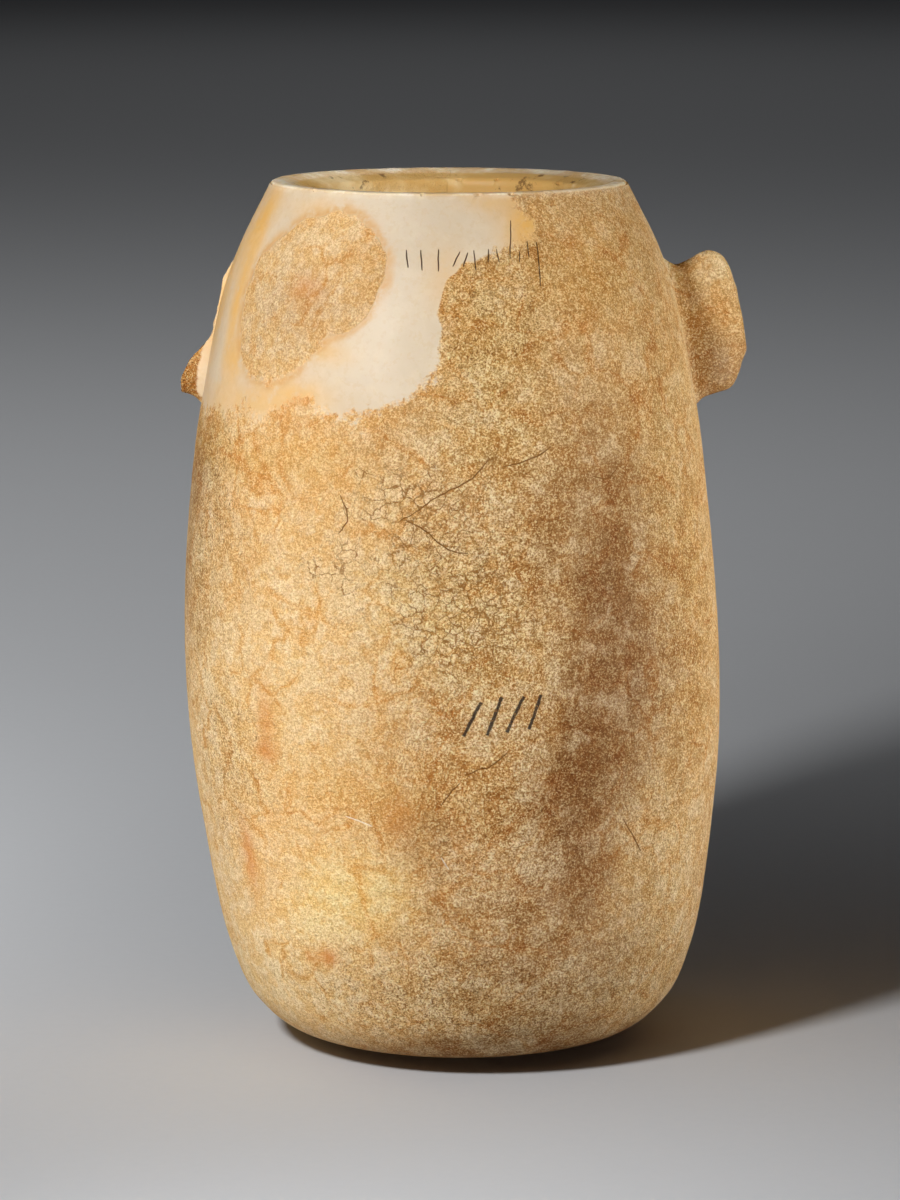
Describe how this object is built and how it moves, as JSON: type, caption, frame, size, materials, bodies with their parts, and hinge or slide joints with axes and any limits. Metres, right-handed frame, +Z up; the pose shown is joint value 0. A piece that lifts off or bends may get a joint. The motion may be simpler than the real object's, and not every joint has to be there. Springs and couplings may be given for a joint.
{
  "type": "alabastron",
  "caption": "Hollow carved stone jar with a wide mouth, a sloping lip, a low rounded base and two small ear lugs, one of them broken off; it holds oil, ointment or grain.",
  "frame": {"origin": "centre of the flat ground spot on the underside", "axes": "+Z up towards the mouth; -Y is the inscribed front; +X points to the whole ear lug and -X to the broken one"},
  "size_m": [0.1833, 0.1748, 0.282],
  "materials": {
    "stone": "weathered calcite alabaster, rough ochre crust with a smooth cream patch near the rim"
  },
  "bodies": {
    "root": {"alabastron": "stone"}
  },
  "joints": []
}
